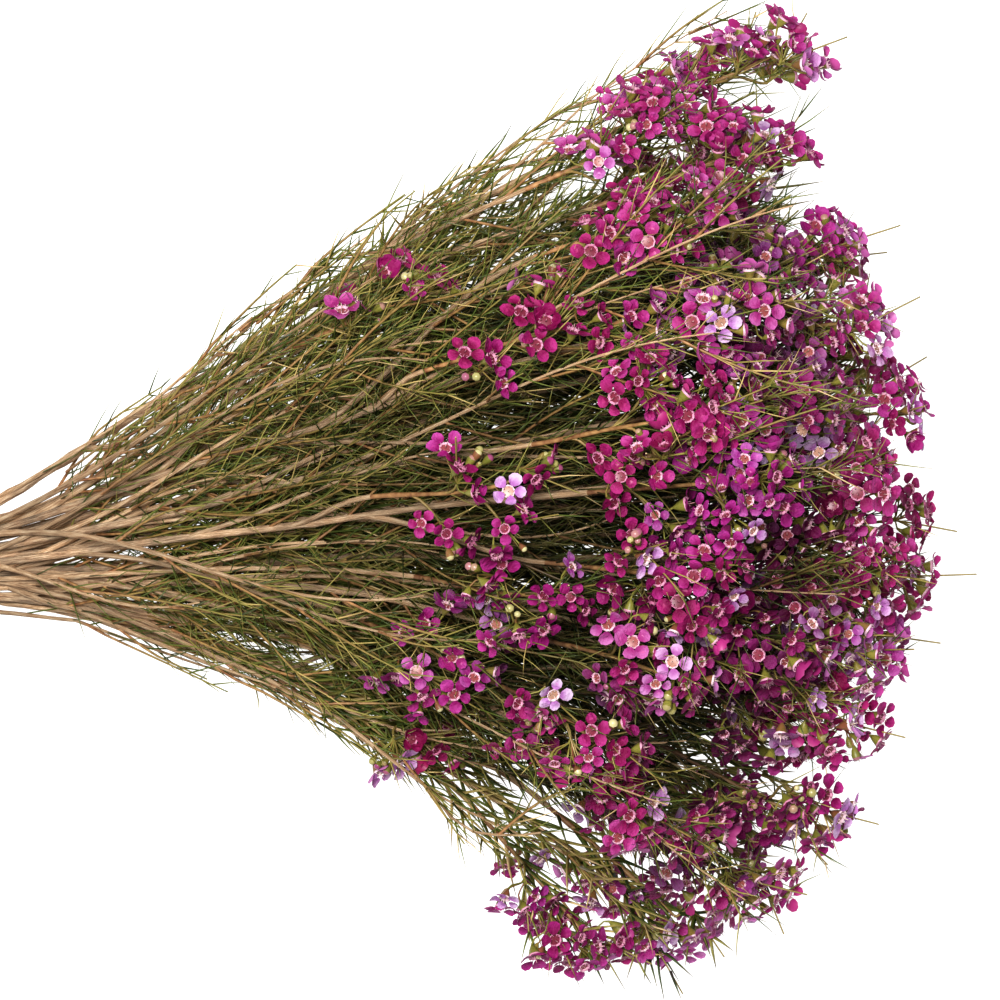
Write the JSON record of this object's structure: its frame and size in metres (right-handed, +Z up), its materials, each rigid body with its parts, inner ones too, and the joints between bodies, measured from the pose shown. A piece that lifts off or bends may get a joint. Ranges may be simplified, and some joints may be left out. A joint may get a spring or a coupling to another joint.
{
  "type": "waxflower bunch",
  "caption": "Cut bunch of magenta waxflower lying on its side: woody stems gathered in a rubber band, with leafy twigs and small flowers.",
  "frame": {"origin": "on the surface that the bunch lies on, under the middle of its whole box", "axes": "+X along the bunch from the cut stem ends to the flowers, +Y across it, +Z up"},
  "size_m": [0.5946, 0.3856, 0.216],
  "materials": {
    "bark": "tan fibrous bark, red brown on the young twigs",
    "petal": "waxy magenta petals, paler at the edge",
    "leaf": "dark green needle leaves, slightly glossy",
    "calyx": "yellow green calyxes and stalks",
    "band": "matte natural rubber"
  },
  "bodies": {
    "root": {"stem_01": "bark", "stem_02": "bark", "stem_03": "bark", "stem_04": "bark", "stem_05": "bark", "stem_06": "bark", "stem_07": "bark", "stem_08": "bark", "stem_09": "bark", "stem_10": "bark", "stem_11": "bark", "stem_12": "bark", "stem_13": "bark", "stem_14": "bark", "stem_15": "bark", "stem_16": "bark", "stem_17": "bark", "stem_18": "bark", "stem_19": "bark", "stem_20": "bark", "spray_01": "petal", "spray_02": "petal", "spray_03": "petal", "spray_04": "petal", "spray_05": "petal", "spray_06": "petal", "spray_07": "petal", "spray_08": "petal", "spray_09": "petal", "spray_10": "petal", "spray_11": "petal", "spray_12": "petal", "spray_13": "petal", "spray_14": "petal", "spray_15": "petal", "spray_16": "petal", "spray_17": "petal", "spray_18": "petal", "spray_19": "petal", "spray_20": "petal", "spray_21": "petal", "spray_22": "petal", "spray_23": "petal", "spray_24": "petal", "spray_25": "petal", "spray_26": "petal", "spray_27": "petal", "spray_28": "petal", "spray_29": "petal", "spray_30": "petal", "spray_31": "petal", "spray_32": "petal", "spray_33": "petal", "spray_34": "petal", "spray_35": "petal", "spray_36": "petal", "spray_37": "petal", "spray_38": "petal", "spray_39": "petal", "tie": "band"}
  },
  "joints": []
}
